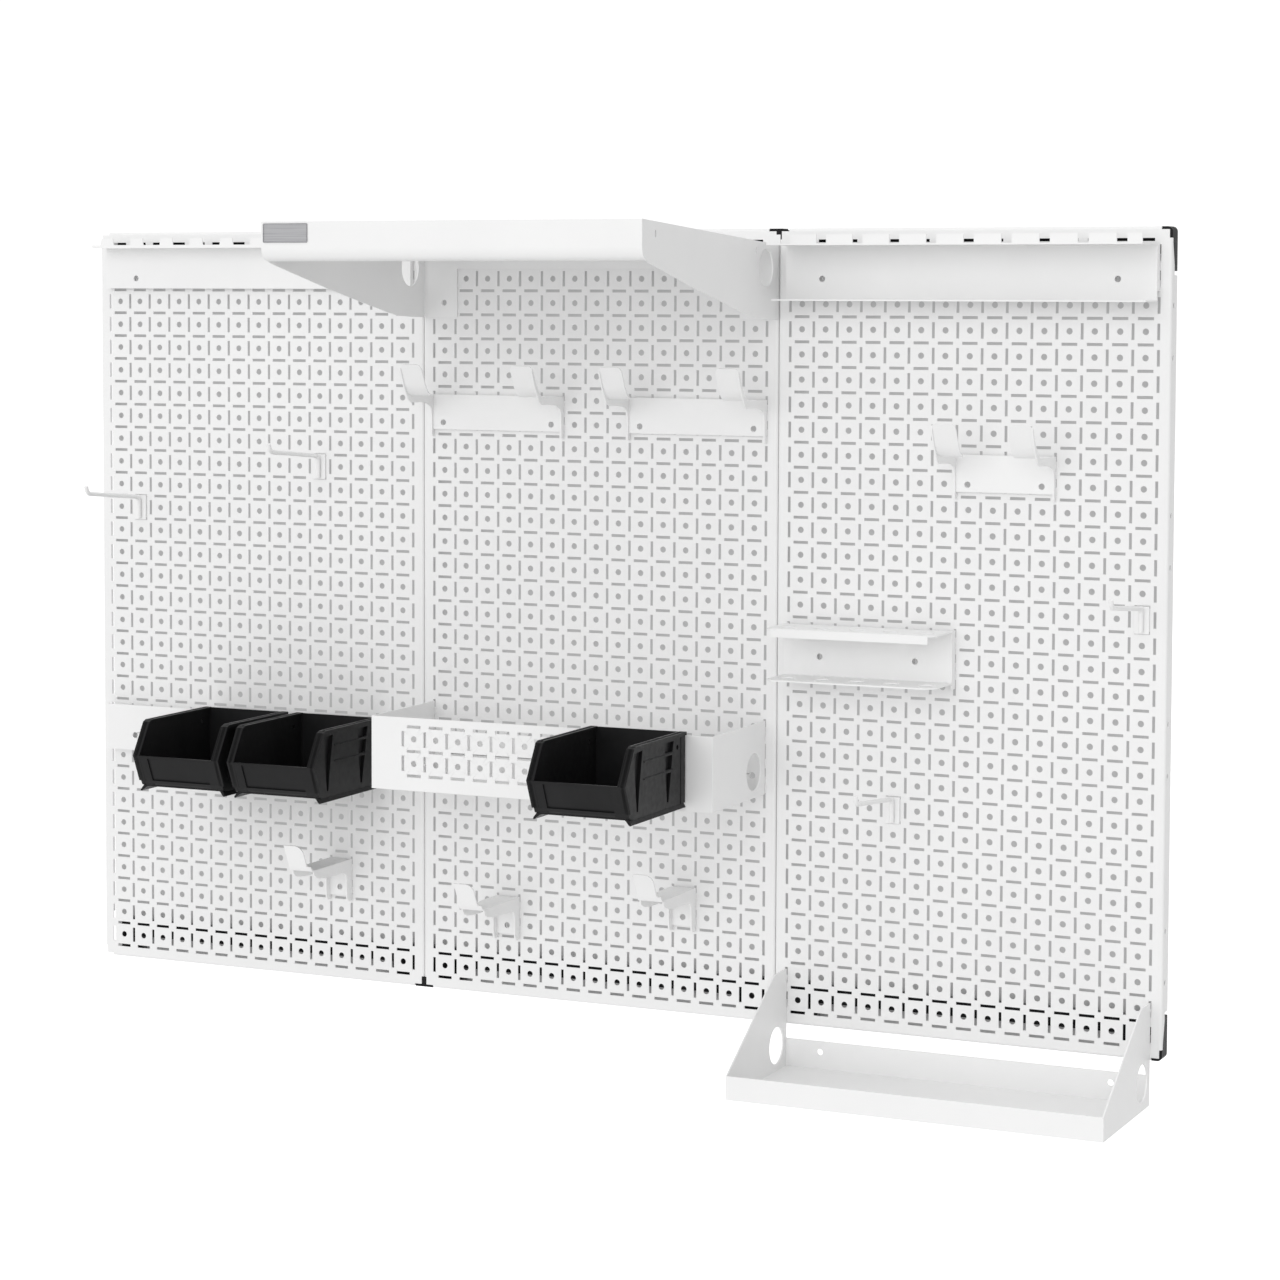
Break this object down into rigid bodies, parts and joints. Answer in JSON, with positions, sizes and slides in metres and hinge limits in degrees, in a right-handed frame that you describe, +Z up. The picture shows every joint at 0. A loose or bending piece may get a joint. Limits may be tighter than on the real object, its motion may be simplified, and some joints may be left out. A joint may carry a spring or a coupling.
{
  "type": "pegboard tool wall",
  "caption": "White steel slotted pegboard tool wall with a top shelf, long tray, bottom shelf, top rails, tool rack, hooks and black hanging bins",
  "frame": {"origin": "on the wall, at the centre of the four outermost corner screw holes, which is the middle of the row of panels", "axes": "+X along the wall to the right of someone facing it, +Y into the wall, +Z up"},
  "size_m": [1.2188, 0.3589, 0.8605],
  "materials": {
    "white_steel": "satin",
    "black_plastic": "matte",
    "bin_plastic": "satin",
    "plate_steel": "satin"
  },
  "bodies": {
    "wall": {"panel_left": "white_steel", "panel_middle": "white_steel", "panel_right": "white_steel", "corner_bracket_top_left": "black_plastic", "corner_bracket_top_right": "black_plastic", "corner_bracket_bottom_left": "black_plastic", "corner_bracket_bottom_right": "black_plastic", "joining_bracket_top_left": "black_plastic", "joining_bracket_top_right": "black_plastic", "joining_bracket_bottom_left": "black_plastic", "joining_bracket_bottom_right": "black_plastic", "backing_strips_top": "black_plastic", "backing_strips_bottom": "black_plastic"},
    "top_shelf": {"top_shelf": "white_steel", "shelf_name_plate": "plate_steel"},
    "long_tray": {"long_tray": "white_steel"},
    "bottom_shelf": {"bottom_shelf": "white_steel"},
    "left_top_rail": {"left_top_rail": "white_steel"},
    "right_top_rail": {"right_top_rail": "white_steel"},
    "screwdriver_rack": {"screwdriver_rack": "white_steel"},
    "double_hook_left": {"double_hook_left": "white_steel"},
    "double_hook_middle": {"double_hook_middle": "white_steel"},
    "double_hook_right": {"double_hook_right": "white_steel"},
    "saddle_hook_left": {"saddle_hook_left": "white_steel"},
    "saddle_hook_middle": {"saddle_hook_middle": "white_steel"},
    "saddle_hook_right": {"saddle_hook_right": "white_steel"},
    "bin_rail": {"bin_rail": "white_steel"},
    "rod_hook_1": {"rod_hook_plate_1": "white_steel", "rod_hook_rod_1": "white_steel"},
    "rod_hook_2": {"rod_hook_plate_2": "white_steel", "rod_hook_rod_2": "white_steel"},
    "rod_hook_3": {"rod_hook_plate_3": "white_steel", "rod_hook_rod_3": "white_steel"},
    "rod_hook_4": {"rod_hook_plate_4": "white_steel", "rod_hook_rod_4": "white_steel"},
    "bin_left": {"bin_left": "bin_plastic"},
    "bin_middle": {"bin_middle": "bin_plastic"},
    "bin_right": {"bin_right": "bin_plastic"}
  },
  "joints": [
    {"name": "top_shelf_lift", "type": "slide", "parent": "wall", "child": "top_shelf", "axis": [0, 0, 1], "range_m": [0, 0.006]},
    {"name": "long_tray_lift", "type": "slide", "parent": "wall", "child": "long_tray", "axis": [0, 0, 1], "range_m": [0, 0.006]},
    {"name": "bottom_shelf_lift", "type": "slide", "parent": "wall", "child": "bottom_shelf", "axis": [0, 0, 1], "range_m": [0, 0.006]},
    {"name": "left_top_rail_lift", "type": "slide", "parent": "wall", "child": "left_top_rail", "axis": [0, 0, 1], "range_m": [0, 0.006]},
    {"name": "right_top_rail_lift", "type": "slide", "parent": "wall", "child": "right_top_rail", "axis": [0, 0, 1], "range_m": [0, 0.006]},
    {"name": "screwdriver_rack_lift", "type": "slide", "parent": "wall", "child": "screwdriver_rack", "axis": [0, 0, 1], "range_m": [0, 0.006]},
    {"name": "double_hook_left_lift", "type": "slide", "parent": "wall", "child": "double_hook_left", "axis": [0, 0, 1], "range_m": [0, 0.006]},
    {"name": "double_hook_middle_lift", "type": "slide", "parent": "wall", "child": "double_hook_middle", "axis": [0, 0, 1], "range_m": [0, 0.006]},
    {"name": "double_hook_right_lift", "type": "slide", "parent": "wall", "child": "double_hook_right", "axis": [0, 0, 1], "range_m": [0, 0.006]},
    {"name": "saddle_hook_left_lift", "type": "slide", "parent": "wall", "child": "saddle_hook_left", "axis": [0, 0, 1], "range_m": [0, 0.006]},
    {"name": "saddle_hook_middle_lift", "type": "slide", "parent": "wall", "child": "saddle_hook_middle", "axis": [0, 0, 1], "range_m": [0, 0.006]},
    {"name": "saddle_hook_right_lift", "type": "slide", "parent": "wall", "child": "saddle_hook_right", "axis": [0, 0, 1], "range_m": [0, 0.006]},
    {"name": "bin_rail_lift", "type": "slide", "parent": "wall", "child": "bin_rail", "axis": [0, 0, 1], "range_m": [0, 0.006]},
    {"name": "rod_hook_1_tip", "type": "hinge", "parent": "wall", "child": "rod_hook_1", "pos_m": [-0.5588, -0.01905, 0.1143], "axis": [-1, 0, 0], "range_deg": [0, 20]},
    {"name": "rod_hook_2_tip", "type": "hinge", "parent": "wall", "child": "rod_hook_2", "pos_m": [-0.3302, -0.01905, 0.1651], "axis": [-1, 0, 0], "range_deg": [0, 20]},
    {"name": "rod_hook_3_tip", "type": "hinge", "parent": "wall", "child": "rod_hook_3", "pos_m": [0.5842, -0.01905, 0.0381], "axis": [-1, 0, 0], "range_deg": [0, 20]},
    {"name": "rod_hook_4_tip", "type": "hinge", "parent": "wall", "child": "rod_hook_4", "pos_m": [0.3302, -0.01905, -0.1651], "axis": [-1, 0, 0], "range_deg": [0, 20]},
    {"name": "bin_left_lift_off", "type": "slide", "parent": "bin_rail", "child": "bin_left", "axis": [0, 0, 1], "range_m": [0, 0.06]},
    {"name": "bin_middle_lift_off", "type": "slide", "parent": "bin_rail", "child": "bin_middle", "axis": [0, 0, 1], "range_m": [0, 0.06]},
    {"name": "bin_right_lift_off", "type": "slide", "parent": "long_tray", "child": "bin_right", "axis": [0, 0, 1], "range_m": [0, 0.06]}
  ]
}
